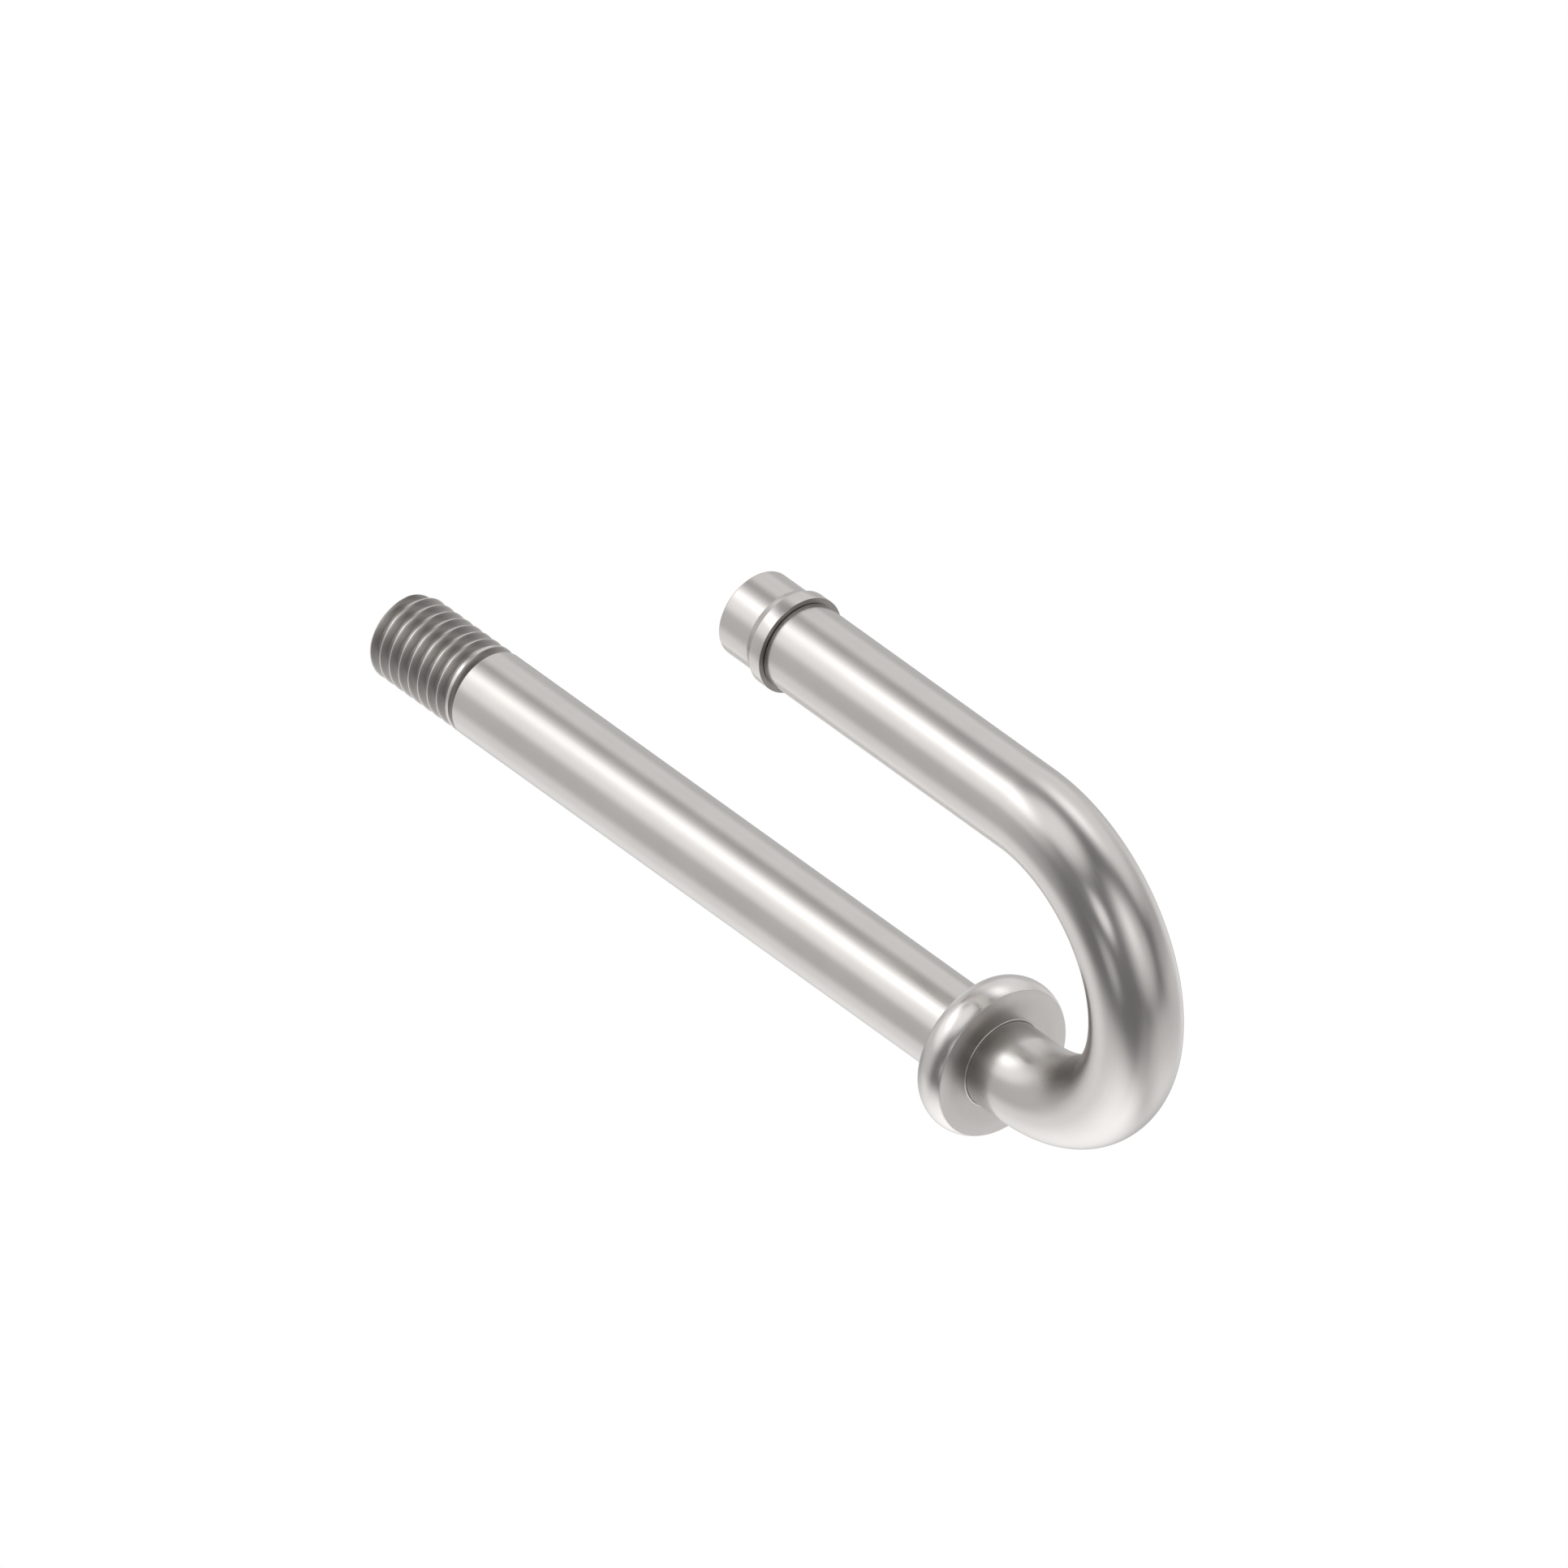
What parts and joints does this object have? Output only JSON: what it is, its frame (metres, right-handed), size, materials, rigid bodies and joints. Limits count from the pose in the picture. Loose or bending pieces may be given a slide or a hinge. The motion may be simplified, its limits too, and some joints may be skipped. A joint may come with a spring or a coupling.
{
  "type": "u-bolt",
  "caption": "Hooked U-bolt bent from round bar, with a long threaded leg, a stop collar before the bend and a barbed retaining sleeve on the short leg.",
  "frame": {"origin": "on the long leg's axis, in the plane of the stop collar's seat", "axes": "+X along the long leg toward the bend, +Z from the long leg to the short leg, +Y square to the plane of the U"},
  "size_m": [0.1579, 0.023, 0.0636],
  "materials": {
    "bar_steel": "satin stainless steel, drawn and lightly polished, with a fine grain along the bar",
    "collar_steel": "satin stainless steel, turned, with fine marks round the axis",
    "sleeve_steel": "satin stainless steel, turned, with fine marks round the axis"
  },
  "bodies": {
    "root": {"bent_bar": "bar_steel", "stop_collar": "collar_steel", "retaining_sleeve": "sleeve_steel"}
  },
  "joints": []
}
